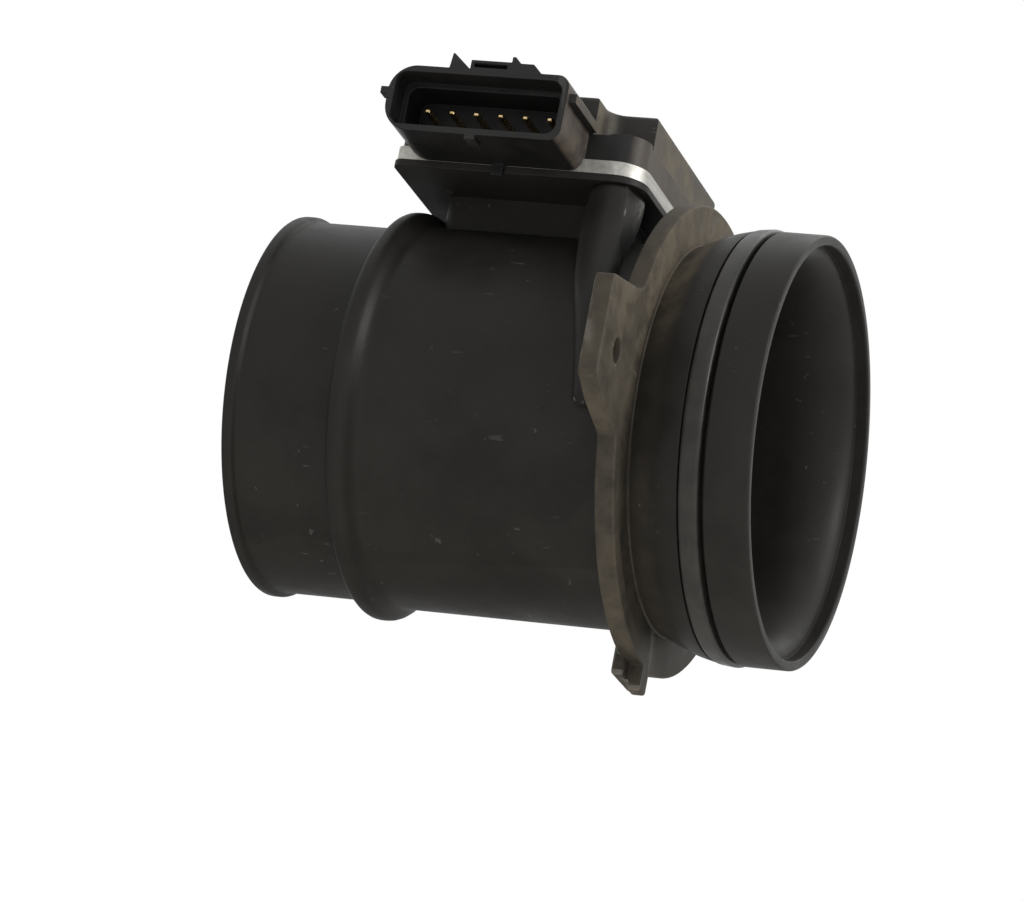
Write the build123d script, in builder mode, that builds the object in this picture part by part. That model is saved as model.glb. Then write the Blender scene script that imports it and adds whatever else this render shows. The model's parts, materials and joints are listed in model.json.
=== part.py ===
# Mass airflow sensor: a duct between an air filter box and an intake hose, with a plug-in
# electronics module on top whose probe hangs in the air stream.
#
# +X runs along the duct out of the inlet mouth, +Z up through the module, and the plug
# opens towards -Y. The origin is the centre of the mounting flange's inlet-side face.

import os
from math import sqrt

from build123d import *

os.makedirs("parts", exist_ok=True)

# ---- duct, in stations along X from the mounting face ----
hose_length = 78.1          # mounting face to the hose end
inlet_length = 23.8         # mounting face to the inlet lip
hose_radius = 35.0
duct_wall = 2.6             # of the hose spigot
bead_height = 0.9
bead_width = 1.9
bead_ramp = 0.6
collar_height = 2.5         # over the duct's body
collar_gap = 20.2           # hose end to the foot of the collar
collar_shoulder = 1.3
collar_width = 2.8
collar_taper = 1.9
collar_round = 1.1
body_step = 0.8             # hose spigot up to the body
end_chamfer = 0.5

# ---- inlet spigot with its seal groove and bell mouth ----
root_step = 0.3             # body up to the spigot's root
flare_length = 6.9
flare_rise = 2.9
land_length = 10.4
land_rise = 0.8
groove_width = 4.9
groove_depth = 2.6
rim_step = 0.2              # land up to the rim
lip_width = 1.9
lip_depth = 2.4
bell_step = 0.4
bell_length = 14.5
seal_width = 3.8            # the seal ring's section
seal_height = 3.1
seal_slope = 0.4            # its crown is lower toward the hose
seal_corner = 0.8
seal_gap = 0.2              # from the groove's hose-side wall to the ring
seal_lift = 0.1             # from the groove's floor to the ring

# ---- mounting flange ----
flange_height = 7.9         # over the duct's body
flange_thickness = 3.7
ear_reach = 59.2
ear_top = 11.3
ear_bottom = 7.2
ear_root_top = 14.4
ear_root_bottom = 13.2
ear_taper = 6.0
ear_corner = 1.2
bolt_circle = 100.0
bolt_hole = 4.5
nib_reach = 4.7
nib_width = 4.8
nib_thickness = 2.6
foot_reach = 3.1            # the thicker foot behind the nib
foot_width = 12.4
foot_thickness = 4.7
foot_corner = 1.0

# ---- module seat on the duct ----
module_x = -33.8            # middle of the module along the duct
module_width = 47.8
module_front = 25.8         # duct axis to the module's front edge
module_depth = 57.0
module_corner = 5.6         # at the two corners with a screw
module_tight_corner = 1.8
seat_rise = 5.95            # duct's top up to the underside of the plate
pad_thickness = 1.4
pad_margin = 0.3
neck_width = 35.4
neck_depth = 23.0
neck_corner = 2.5
probe_width = 26.0
probe_depth = 12.8
probe_corner = 2.4
probe_clearance = 0.3

# ---- screw bosses under two opposite corners of the module ----
screw_inset = 5.3
boss_radius = 5.3
pilot_depth = 12.0
screw_radius = 1.9
screw_play = 0.25
thread_play = 0.05
gusset_stations = (         # height over the axis, middle's height off the duct, along, radius
    (30.7, 1.3, 0.3, 5.0),
    (21.7, 0.9, 3.1, 4.3),
    (11.2, 0.5, 5.4, 3.3),
    (1.2, 0.3, 6.7, 2.6),
    (-4.2, 0.4, 6.9, 2.4),
)

# ---- module ----
plate_thickness = 2.7
housing_inset = 0.6
housing_height = 5.2
post_height = 5.6
sealant_thickness = 0.4
cover_inset = 1.8
cover_corner = 2.6
cover_rise = 15.7           # seat to the cover's top
cover_wall = 1.6
cover_panel_margin = 6.0
cover_panel_depth = 0.4
cover_round = 1.0
notch_width = 9.2
notch_depth = 8.2
notch_corner = 3.0

# ---- connector ----
shroud_left = 22.1          # connector's ends, off the middle of the module
shroud_right = 12.4
shroud_reach = 40.9         # duct axis to the mouth
shroud_lift = 0.1           # seat to the connector's underside
shroud_rise = 12.9          # seat to the connector's top
shroud_round = 5.2          # at the connector's left end
shroud_round_right = 2.4
socket_wall = 1.25
socket_round = 2.0
socket_step_depth = 5.6
socket_step = 1.0
socket_depth = 13.4
pin_count = 6
pin_pitch = 4.75
pin_width = 1.0
pin_height = 0.8
pin_recess = 6.1
pin_offset = -4.15          # middle of the pins off the middle of the module
pin_rise = 6.45             # above the seat
pin_landing = 1.5           # from the board's front edge to the pins' feet
latch_offset = -3.25        # middle of the latch bridge off the middle of the module
latch_width = 7.8
latch_height = 1.8
latch_depth = 7.0
latch_wall = 0.7
latch_floor = 0.4
fin_height = 2.9
fin_width = 4.0
fin_tip = 0.6
fin_shelf = 1.7             # height of the long fin's flat part
fin_width_long = 6.0
fin_depth = 8.0
side_rib = 1.5
side_rib_height = 1.8
side_rib_rise = 8.9         # above the seat
side_rib_setback = 1.0
nub_size = 1.4
nub_rise = 7.7
nub_depth = 3.0
key_width = 2.0
key_height = 0.8
key_depth = 4.0
tab_width = 2.2
tab_height = 2.3
tab_thickness = 0.8
key_offset = -4.8           # off the middle of the module
tab_offset = -3.3

# ---- electronics ----
board_thickness = 0.8
board_side_gap = 2.5        # from the cover's walls
board_back_gap = 1.9        # from the cover's step around the rear screw
board_lead_gap = 8.7        # leads to the board's front edge
chip_size = 9.0
chip_height = 1.5
chip_offset = -7.0          # off the middle of the module
regulator_size = 6.5
regulator_height = 2.2
regulator_offset = 9.0
capacitor_length = 3.2
capacitor_width = 1.6
capacitor_count = 4
capacitor_pitch = 6.0
capacitor_gap = 3.2         # leads to the middle of the row in front of them

# ---- probe and its elements ----
probe_tip = -9.5            # lowest point of the probe
channel_height = 8.0
channel_depth = 7.2
channel_middle = 1.5
channel_end_wall = 3.4
probe_cover_thickness = 1.4
probe_cover_rim = 1.2
probe_ring_depth = 1.0
probe_ring_height = 1.9
probe_ring_drop = 5.5       # below the seat
lead_count = 4
lead_radius = 0.4
lead_pitch = 5.0
lead_hole_play = 0.1
lead_stub = 1.0             # above the board
element_radius = 0.6
element_length = 2.8
wire_radius = 0.15
thermistor_radius = 1.2
thermistor_length = 3.2
thermistor_level = 20.0
thermistor_reach = 4.6
thermistor_wire_gap = 1.3
thermistor_wire_radius = 0.25

# ---- screws ----
head_radius = 3.4
head_height = 2.3
head_play = 0.2
head_sink = 2.8             # top of the post down to the head's seat
head_round = 0.7
drive_radius = 1.5
drive_lobe = 0.55
drive_depth = 1.4
screw_tip_gap = 2.0

# ---- derived stations ----
hose_end = -hose_length
collar_foot = hose_end + collar_gap
collar_start = collar_foot + collar_shoulder
collar_end = collar_start + collar_width
flange_back = -flange_thickness
bore_radius = hose_radius - duct_wall
body_radius = hose_radius + body_step
collar_radius = body_radius + collar_height
root_radius = body_radius + root_step
flare_radius = root_radius + flare_rise
land_radius = flare_radius + land_rise
groove_radius = land_radius - groove_depth
rim_radius = land_radius + rim_step
flange_radius = body_radius + flange_height
seat_height = body_radius + seat_rise
root_level = body_radius / 3            # inside the duct's wall, where the neck and bosses start
groove_end = land_length + groove_width
seal_start = land_length + seal_gap
seal_inner = groove_radius + seal_lift
seal_crown = seal_inner + seal_height
bell_entry = inlet_length - lip_depth
bell_entry_radius = rim_radius - lip_width - bell_step
module_middle_y = module_depth / 2 - module_front
plate_top = seat_height + plate_thickness
housing_top = plate_top + housing_height
cover_bottom = housing_top + sealant_thickness
cover_top = seat_height + cover_rise
post_top = plate_top + post_height
head_seat = post_top - head_sink
board_top = plate_top + board_thickness
shroud_bottom = seat_height + shroud_lift
shroud_top = seat_height + shroud_rise
shroud_root = module_front - housing_inset
pin_level = seat_height + pin_rise
pin_tip = shroud_reach - pin_recess
module_end = module_x + module_width / 2
screw_places = (
    (module_end - screw_inset, -module_front + screw_inset),
    (module_x - module_width / 2 + screw_inset, module_depth - module_front - screw_inset),
)
probe_side = probe_depth / 2
channel_back = probe_side - probe_cover_thickness
channel_front = channel_back - channel_depth
channel_roof = channel_middle + channel_height / 2
channel_end = module_x - probe_width / 2 + channel_end_wall
probe_nose = module_x + probe_width / 2
lead_y = (channel_back + channel_front) / 2
lead_places = [(module_x + lead_pitch * (i - (lead_count - 1) / 2), lead_y) for i in range(lead_count)]
shroud_left_x = module_x - shroud_left
shroud_right_x = module_x + shroud_right
probe_ring_level = seat_height - probe_ring_drop


def module_outline(inset):
    """Plan of the module drawn in from the plate's edge, well rounded where a screw stands."""
    half_x = module_width / 2 - inset
    half_y = module_depth / 2 - inset
    wide = module_corner - inset / 2
    tight = module_tight_corner - inset / 2
    with BuildLine() as edge:
        FilletPolyline(
            (-half_x, -half_y),
            (half_x, -half_y),
            (half_x, half_y),
            (-half_x, half_y),
            radius=(tight, wide, tight, wide),
            close=True,
        )
    make_face(edge.edges())


def module_plane(height):
    return Plane.XY.offset(height).move(Location((module_x, module_middle_y, 0)))


def probe_plane(height):
    return Plane.XY.offset(height).move(Location((module_x, 0, 0)))


# ---- plan of an ear, with +X outwards; the ears are set half a turn apart ----
with BuildSketch() as ear_plan:
    with BuildLine():
        FilletPolyline(
            (flange_radius / 2, -ear_root_top),
            (sqrt(flange_radius**2 - ear_root_top**2), -ear_root_top),
            (ear_reach, -ear_top),
            (ear_reach, ear_bottom),
            (ear_reach - ear_taper, ear_bottom + ear_taper / 2),
            (sqrt(flange_radius**2 - ear_root_bottom**2), ear_root_bottom),
            (flange_radius / 2, ear_root_bottom),
            radius=ear_corner,
            close=True,
        )
    make_face()

# ---- duct body: one moulding with spigots, collar, flange, ears, seat and bosses ----
with BuildPart() as duct_body:
    # the outer skin turned about the duct's axis
    with BuildSketch(Plane.XZ):
        with BuildLine():
            Polyline(
                (hose_end, 0),
                (hose_end, hose_radius + bead_height - end_chamfer),
                (hose_end + end_chamfer, hose_radius + bead_height),
                (hose_end + bead_width, hose_radius + bead_height),
                (hose_end + bead_width + bead_ramp, hose_radius),
                (collar_start, hose_radius),
                (collar_start, body_radius),
                (flange_back / 2, body_radius),
                (flange_back / 2, root_radius),
                (0, root_radius),
                (flare_length, flare_radius),
                (land_length, land_radius),
                (land_length, groove_radius),
                (groove_end, groove_radius),
                (groove_end, rim_radius),
                (inlet_length - end_chamfer, rim_radius),
                (inlet_length, rim_radius - end_chamfer),
                (inlet_length, 0),
                close=True,
            )
        make_face()
    revolve(axis=Axis.X)

    # the collar that stops the hose
    with BuildSketch(Plane.XZ):
        with BuildLine():
            crest = FilletPolyline(
                (collar_foot, hose_radius),
                (collar_start, collar_radius),
                (collar_end, collar_radius),
                (collar_end + collar_taper, body_radius),
                radius=collar_round,
            )
            Polyline(crest @ 1, (collar_end + collar_taper, bore_radius), (collar_foot, bore_radius),
                     crest @ 0)
        make_face()
    revolve(axis=Axis.X)

    # the flange disc with its two ears, and the foot and locating nib under it
    with BuildSketch(Plane.YZ.offset(flange_back)):
        Circle(flange_radius)
        with PolarLocations(0, 2):
            add(ear_plan.sketch)
    extrude(amount=flange_thickness)
    for width, reach, thickness, start in (
        (foot_width, foot_reach, foot_thickness - nib_thickness, -foot_thickness),
        (nib_width, nib_reach, nib_thickness, -nib_thickness),
    ):
        with BuildSketch(Plane.YZ.offset(start)):
            with BuildLine():
                FilletPolyline(
                    (-width / 2, -body_radius),
                    (-width / 2, -flange_radius - reach),
                    (width / 2, -flange_radius - reach),
                    (width / 2, -body_radius),
                    radius=foot_corner,
                )
                Line((width / 2, -body_radius), (-width / 2, -body_radius))
            make_face()
        extrude(amount=thickness)

    # the pad that carries the module, and the neck that joins it to the duct
    with BuildSketch(module_plane(seat_height - pad_thickness)):
        module_outline(-pad_margin)
    extrude(amount=pad_thickness)
    with BuildSketch(probe_plane(root_level)):
        RectangleRounded(neck_width, neck_depth, neck_corner)
    extrude(amount=seat_height - root_level - pad_thickness / 2)

    # the boss at each screw, down to the duct's wall
    with BuildSketch(Plane.XY.offset(root_level)):
        with Locations(*screw_places):
            Circle(boss_radius)
    extrude(amount=seat_height - root_level - pad_thickness / 2)

    # the front boss runs on down the duct as a gusset that dies out behind the ear
    for height, standoff, along, radius in gusset_stations:
        gusset_x = screw_places[0][0] + along
        gusset_y = -sqrt((body_radius + standoff) ** 2 - height**2)
        with BuildSketch(Plane.XY.offset(height)):
            with Locations((gusset_x, gusset_y)):
                Circle(radius)
    loft()
    with Locations((gusset_x, gusset_y, height)):
        Sphere(radius)

    # the bore, with the bell mouth inside the inlet lip
    with BuildSketch(Plane.XZ):
        with BuildLine():
            Polyline(
                (inlet_length, 0),
                (inlet_length, rim_radius - lip_width),
                (bell_entry, rim_radius - lip_width),
                (bell_entry, bell_entry_radius),
            )
            EllipticalCenterArc(
                (bell_entry - bell_length, bell_entry_radius),
                bell_length,
                bell_entry_radius - bore_radius,
                start_angle=270,
                arc_size=90,
            )
            Polyline(
                (bell_entry - bell_length, bore_radius),
                (hose_end, bore_radius),
                (hose_end, 0),
                (inlet_length, 0),
            )
        make_face()
    revolve(axis=Axis.X, mode=Mode.SUBTRACT)

    # the way for the probe, the bolt holes in the ears and the pilot holes for the screws
    with BuildSketch(probe_plane(0)):
        RectangleRounded(probe_width + 2 * probe_clearance, probe_depth + 2 * probe_clearance,
                         probe_corner + probe_clearance)
    extrude(amount=seat_height, mode=Mode.SUBTRACT)
    with BuildSketch(Plane.YZ.offset(flange_back)):
        with PolarLocations(bolt_circle / 2, 2):
            Circle(bolt_hole / 2)
    extrude(amount=flange_thickness, mode=Mode.SUBTRACT)
    with BuildSketch(Plane.XY.offset(seat_height)):
        with Locations(*screw_places):
            Circle(screw_radius + thread_play)
    extrude(amount=-pilot_depth, mode=Mode.SUBTRACT)
duct_body.part.label = "duct_body"
export_step(duct_body.part, "parts/duct_body.step")

# ---- inlet seal ring, lying against the hose side of its groove ----
with BuildPart() as inlet_seal_ring:
    with BuildSketch(Plane.XZ):
        with BuildLine():
            FilletPolyline(
                (seal_start, seal_inner),
                (seal_start + seal_width, seal_inner),
                (seal_start + seal_width, seal_crown),
                (seal_start, seal_crown - seal_slope),
                radius=seal_corner,
                close=True,
            )
        make_face()
    revolve(axis=Axis.X)
inlet_seal_ring.part.label = "inlet_seal_ring"
export_step(inlet_seal_ring.part, "parts/inlet_seal_ring.step")

# ---- aluminium plate under the electronics ----
with BuildPart() as heat_sink_plate:
    with BuildSketch(module_plane(seat_height)):
        module_outline(0)
    extrude(amount=plate_thickness)
    with BuildSketch(Plane.XY.offset(seat_height)):
        with Locations(*screw_places):
            Circle(screw_radius + screw_play)
        with Locations(*lead_places):
            Circle(lead_radius + probe_clearance)
    extrude(amount=plate_thickness, mode=Mode.SUBTRACT)
heat_sink_plate.part.label = "heat_sink_plate"
export_step(heat_sink_plate.part, "parts/heat_sink_plate.step")


def cover_outline(wall):
    """The cover's plan drawn in by a wall, stepped in around the screw at two opposite corners."""
    inset = cover_inset + wall
    RectangleRounded(module_width - 2 * inset, module_depth - 2 * inset, cover_corner)
    with Locations((module_width / 2, -module_depth / 2), (-module_width / 2, module_depth / 2)):
        RectangleRounded(2 * (inset + notch_width), 2 * (inset + notch_depth), notch_corner + wall,
                         mode=Mode.SUBTRACT)


# ---- module housing: a frame on the plate with the connector's shroud in front ----
with BuildPart() as module_housing:
    with BuildSketch(module_plane(plate_top)):
        module_outline(housing_inset)
    extrude(amount=housing_height)
    with BuildSketch(Plane.XY.offset(plate_top)):
        with Locations(*screw_places):
            Circle(screw_inset - housing_inset)
    extrude(amount=post_height)
    with BuildSketch(module_plane(plate_top)):
        cover_outline(cover_wall)
    extrude(amount=post_height, mode=Mode.SUBTRACT)

    # the shroud, hanging down over the plate's front edge
    with BuildSketch(Plane.XZ.offset(shroud_reach)):
        with BuildLine():
            FilletPolyline(
                (shroud_left_x, shroud_bottom),
                (shroud_right_x, shroud_bottom),
                (shroud_right_x, shroud_top),
                (shroud_left_x, shroud_top),
                radius=(shroud_round, shroud_round_right, shroud_round_right, shroud_round),
                close=True,
            )
        make_face()
    extrude(amount=-(shroud_reach - shroud_root))
    with BuildSketch(Plane.XZ.offset(module_front)):
        with Locations((module_x, seat_height)):
            Rectangle(module_width, plate_thickness, align=(Align.CENTER, Align.MIN))
    extrude(amount=-(module_front - shroud_root), mode=Mode.SUBTRACT)

    # what stands on the shroud: latch bridge, a fin each side of it, side rib and nub
    latch_x = module_x + latch_offset
    with BuildSketch(Plane.XZ.offset(shroud_reach)):
        with Locations((latch_x, shroud_top)):
            Rectangle(latch_width, latch_height, align=(Align.CENTER, Align.MIN))
        with Locations((latch_x, shroud_top + latch_floor)):
            Rectangle(latch_width - 2 * latch_wall, latch_height - latch_wall - latch_floor,
                      align=(Align.CENTER, Align.MIN), mode=Mode.SUBTRACT)
    extrude(amount=-latch_depth)
    fin_left = latch_x - latch_width / 2 - fin_width
    fin_right = latch_x + latch_width / 2
    with BuildSketch(Plane.XZ.offset(shroud_reach)):
        with BuildLine():
            Polyline(
                (fin_left, shroud_top),
                (fin_left + fin_tip / 2, shroud_top + fin_height),
                (fin_left + fin_tip, shroud_top + fin_height),
                (fin_left + fin_width, shroud_top),
                close=True,
            )
        make_face()
        with BuildLine():
            Polyline(
                (fin_right, shroud_top),
                (fin_right, shroud_top + fin_height),
                (fin_right + fin_tip, shroud_top + fin_height),
                (fin_right + fin_tip + fin_height - fin_shelf, shroud_top + fin_shelf),
                (fin_right + fin_width_long - fin_shelf, shroud_top + fin_shelf),
                (fin_right + fin_width_long, shroud_top),
                close=True,
            )
        make_face()
    extrude(amount=-fin_depth)
    with BuildSketch(Plane.XZ.offset(shroud_reach - side_rib_setback)):
        with Locations((shroud_right_x, seat_height + side_rib_rise)):
            Rectangle(2 * side_rib, side_rib_height)
    extrude(amount=-(shroud_reach - side_rib_setback - shroud_root))
    with BuildSketch(Plane.XZ.offset(shroud_reach)):
        with Locations((shroud_left_x, seat_height + nub_rise)):
            Rectangle(2 * nub_size, nub_size)
    extrude(amount=-nub_depth)

    # what hangs under it: the key by the mouth and the tab over the pad's edge
    with BuildSketch(Plane.XZ.offset(shroud_reach)):
        with Locations((module_x + key_offset, shroud_bottom)):
            Rectangle(key_width, 2 * key_height)
    extrude(amount=-key_depth)
    with BuildSketch(Plane.XZ.offset(module_front + pad_margin + tab_thickness)):
        with Locations((module_x + tab_offset, shroud_bottom)):
            Rectangle(tab_width, tab_height, align=(Align.CENTER, Align.MAX))
            Rectangle(tab_width, tab_height / 2, align=(Align.CENTER, Align.MIN))
    extrude(amount=-tab_thickness)

    # the socket, stepped in behind its mouth
    socket_x = (shroud_left_x + shroud_right_x) / 2
    socket_z = (shroud_bottom + shroud_top) / 2
    socket_width = shroud_right_x - shroud_left_x - 2 * socket_wall
    socket_height = shroud_top - shroud_bottom - 2 * socket_wall
    for step, depth in ((0, socket_step_depth), (socket_step, socket_depth)):
        with BuildSketch(Plane.XZ.offset(shroud_reach)):
            with Locations((socket_x, socket_z)):
                RectangleRounded(socket_width - 2 * step, socket_height - 2 * step, socket_round)
        extrude(amount=-depth, mode=Mode.SUBTRACT)

    # the pins' slots through the wall behind the socket, and the screw holes
    with BuildSketch(Plane.XZ.offset(shroud_reach)):
        with Locations((module_x + pin_offset, pin_level)):
            with GridLocations(pin_pitch, 1, pin_count, 1):
                Rectangle(pin_width, pin_height)
    extrude(amount=-(shroud_reach - module_front + cover_inset + cover_wall), mode=Mode.SUBTRACT)
    with BuildSketch(Plane.XY.offset(plate_top)):
        with Locations(*screw_places):
            Circle(screw_radius + screw_play)
    extrude(amount=post_height, mode=Mode.SUBTRACT)
    with BuildSketch(Plane.XY.offset(head_seat)):
        with Locations(*screw_places):
            Circle(head_radius + head_play)
    extrude(amount=head_sink, mode=Mode.SUBTRACT)
module_housing.part.label = "module_housing"
export_step(module_housing.part, "parts/module_housing.step")

# ---- bead of sealant between the housing and its cover ----
with BuildPart() as cover_sealant:
    with BuildSketch(module_plane(housing_top)):
        cover_outline(0)
    extrude(amount=sealant_thickness)
    with BuildSketch(module_plane(housing_top)):
        cover_outline(cover_wall)
    extrude(amount=sealant_thickness, mode=Mode.SUBTRACT)
cover_sealant.part.label = "cover_sealant"
export_step(cover_sealant.part, "parts/cover_sealant.step")

# ---- module cover ----
with BuildPart() as module_cover:
    with BuildSketch(module_plane(cover_bottom)):
        cover_outline(0)
    extrude(amount=cover_top - cover_bottom)
    fillet(module_cover.faces().sort_by(Axis.Z)[-1].edges(), radius=cover_round)
    with BuildSketch(module_plane(cover_bottom)):
        cover_outline(cover_wall)
    extrude(amount=cover_top - cover_bottom - cover_wall, mode=Mode.SUBTRACT)
    with BuildSketch(module_plane(cover_top)):
        cover_outline(cover_panel_margin - cover_inset)
    extrude(amount=-cover_panel_depth, mode=Mode.SUBTRACT)
module_cover.part.label = "module_cover"
export_step(module_cover.part, "parts/module_cover.step")

# ---- circuit board with what is soldered on it ----
board_front = lead_y - board_lead_gap
board_back = module_depth - module_front - cover_inset - cover_wall - notch_depth - board_back_gap
board_width = module_width - 2 * (cover_inset + cover_wall + board_side_gap)
board_plane = Plane.XY.offset(board_top).move(Location((module_x, lead_y, 0)))
with BuildPart() as circuit_board:
    with BuildSketch(board_plane):
        with Locations((0, (board_front + board_back) / 2 - lead_y)):
            Rectangle(board_width, board_back - board_front)
    extrude(amount=-board_thickness)
    with BuildSketch(Plane.XY.offset(board_top)):
        with Locations(*lead_places):
            Circle(lead_radius + lead_hole_play)
    extrude(amount=-board_thickness, mode=Mode.SUBTRACT)
circuit_board.part.label = "circuit_board"
export_step(circuit_board.part, "parts/circuit_board.step")

for name, offset, size, height in (
    ("control_chip", chip_offset, chip_size, chip_height),
    ("voltage_regulator", regulator_offset, regulator_size, regulator_height),
):
    with BuildPart() as chip:
        with BuildSketch(board_plane):
            with Locations((offset, (board_back - lead_y) / 2)):
                Rectangle(size, size)
        extrude(amount=height)
        chamfer(chip.faces().sort_by(Axis.Z)[-1].edges(), length=height / 5)
    chip.part.label = name
    export_step(chip.part, f"parts/{name}.step")

with BuildPart() as board_capacitors:
    with BuildSketch(board_plane):
        with Locations((0, -capacitor_gap)):
            with GridLocations(capacitor_pitch, 1, capacitor_count, 1):
                Rectangle(capacitor_width, capacitor_length)
    extrude(amount=capacitor_width)
board_capacitors.part.label = "board_capacitors"
export_step(board_capacitors.part, "parts/board_capacitors.step")

# ---- connector pins, each bent down to its pad at the board's front edge ----
for i in range(pin_count):
    pin_x = module_x + pin_offset + pin_pitch * (i - (pin_count - 1) / 2)
    foot_y = board_front + pin_landing
    with BuildPart() as connector_pin:
        with BuildSketch(Plane.YZ.offset(pin_x - pin_width / 2)):
            with BuildLine():
                Polyline(
                    (-pin_tip, pin_level - pin_height / 2),
                    (-pin_tip, pin_level + pin_height / 2),
                    (foot_y + pin_height, pin_level + pin_height / 2),
                    (foot_y + pin_height, board_top),
                    (foot_y, board_top),
                    (foot_y, pin_level - pin_height / 2),
                    close=True,
                )
            make_face()
        extrude(amount=pin_width)
        chamfer(connector_pin.faces().sort_by(Axis.Y)[0].edges(), length=pin_height / 4)
    connector_pin.part.label = f"connector_pin_{i + 1}"
    export_step(connector_pin.part, f"parts/connector_pin_{i + 1}.step")

# ---- probe: hangs from the plate through the neck, with the measuring channel near its tip ----
recess_left = channel_end - probe_cover_rim
recess_height = channel_roof + probe_cover_rim - probe_tip
recess_size = (probe_nose - recess_left, probe_cover_thickness, recess_height)
with BuildPart() as probe_housing:
    with BuildSketch(probe_plane(probe_tip)):
        RectangleRounded(probe_width, probe_depth, probe_corner)
    extrude(amount=seat_height - probe_tip)
    with BuildSketch(Plane.XZ.offset(-probe_side)):
        with BuildLine():
            Polyline(
                (probe_nose, channel_roof - channel_height),
                (probe_nose, channel_roof),
                (channel_end, channel_roof),
                (channel_end, probe_tip),
                (channel_end + channel_height, probe_tip),
                (channel_end + channel_height, channel_roof - channel_height),
                close=True,
            )
        make_face()
    extrude(amount=probe_side - channel_front, mode=Mode.SUBTRACT)
    with Locations((recess_left, probe_side, probe_tip)):
        Box(*recess_size, align=(Align.MIN, Align.MAX, Align.MIN), mode=Mode.SUBTRACT)
    with BuildSketch(probe_plane(probe_ring_level)):
        Rectangle(2 * probe_width, 2 * probe_depth)
        RectangleRounded(probe_width - 2 * probe_ring_depth, probe_depth - 2 * probe_ring_depth,
                         probe_corner - probe_ring_depth, mode=Mode.SUBTRACT)
    extrude(amount=probe_ring_height, mode=Mode.SUBTRACT)
    with BuildSketch(Plane.XY.offset(seat_height)):
        with Locations(*lead_places):
            Circle(lead_radius + lead_hole_play)
    extrude(amount=-(seat_height - channel_roof), mode=Mode.SUBTRACT)
probe_housing.part.label = "probe_housing"
export_step(probe_housing.part, "parts/probe_housing.step")

with BuildPart() as probe_cover:
    with BuildSketch(probe_plane(probe_tip)):
        RectangleRounded(probe_width, probe_depth, probe_corner)
    extrude(amount=recess_height)
    with Locations((recess_left, probe_side, probe_tip)):
        Box(*recess_size, align=(Align.MIN, Align.MAX, Align.MIN), mode=Mode.INTERSECT)
probe_cover.part.label = "probe_cover"
export_step(probe_cover.part, "parts/probe_cover.step")

with BuildPart() as probe_seal_ring:
    with BuildSketch(probe_plane(probe_ring_level)):
        RectangleRounded(probe_width + 2 * probe_clearance, probe_depth + 2 * probe_clearance,
                         probe_corner + probe_clearance)
        RectangleRounded(probe_width - 2 * probe_ring_depth, probe_depth - 2 * probe_ring_depth,
                         probe_corner - probe_ring_depth, mode=Mode.SUBTRACT)
    extrude(amount=probe_ring_height)
probe_seal_ring.part.label = "probe_seal_ring"
export_step(probe_seal_ring.part, "parts/probe_seal_ring.step")

# ---- support leads from the board down into the channel, and the two elements across them ----
with BuildPart() as support_leads:
    with BuildSketch(Plane.XY.offset(board_top + lead_stub)):
        with Locations(*lead_places):
            Circle(lead_radius)
    extrude(amount=-(board_top + lead_stub - channel_middle))
support_leads.part.label = "support_leads"
export_step(support_leads.part, "parts/support_leads.step")

for name, (left_lead, right_lead) in (
    ("hot_wire_element", lead_places[:2]),
    ("compensation_element", lead_places[2:]),
):
    left_x = left_lead[0] + lead_radius
    right_x = right_lead[0] - lead_radius
    level = channel_middle + element_radius
    with BuildPart() as element:
        for radius, length in ((element_radius, element_length), (wire_radius, right_x - left_x)):
            with Locations(((left_x + right_x) / 2, lead_y, level)):
                Cylinder(radius, length, rotation=(0, 90, 0))
    element.part.label = name
    export_step(element.part, f"parts/{name}.step")

# ---- air temperature sensor on the probe's nose ----
with BuildPart() as air_temperature_sensor:
    with Locations((probe_nose + thermistor_reach, 0, thermistor_level)):
        Cylinder(thermistor_radius, thermistor_length, rotation=(0, 90, 0))
    fillet(air_temperature_sensor.edges().filter_by(GeomType.CIRCLE), radius=thermistor_radius * 0.9)
    with BuildSketch(Plane.YZ.offset(probe_nose)):
        with Locations((0, thermistor_level)):
            with GridLocations(thermistor_wire_gap, 1, 2, 1):
                Circle(thermistor_wire_radius)
    extrude(amount=thermistor_reach)
air_temperature_sensor.part.label = "air_temperature_sensor"
export_step(air_temperature_sensor.part, "parts/air_temperature_sensor.step")

# ---- module screws ----
screw_length = head_seat - seat_height + pilot_depth - screw_tip_gap
for name, place in zip(("module_screw_front", "module_screw_rear"), screw_places):
    with BuildPart() as screw:
        with BuildSketch(Plane.XY.offset(head_seat)):
            with Locations(place):
                Circle(head_radius)
        extrude(amount=head_height)
        fillet(screw.edges().sort_by(Axis.Z)[-1], radius=head_round)
        with BuildSketch(Plane.XY.offset(head_seat)):
            with Locations(place):
                Circle(screw_radius)
        extrude(amount=-screw_length)
        chamfer(screw.edges().sort_by(Axis.Z)[0], length=screw_radius / 2)
        with BuildSketch(Plane.XY.offset(head_seat + head_height)):
            with Locations(place):
                Circle(drive_radius)
                with PolarLocations(drive_radius, 6):
                    Circle(drive_lobe)
        extrude(amount=-drive_depth, mode=Mode.SUBTRACT)
    screw.part.label = name
    export_step(screw.part, f"parts/{name}.step")
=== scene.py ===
import json
import math

import bpy
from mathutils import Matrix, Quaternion, Vector

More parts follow.
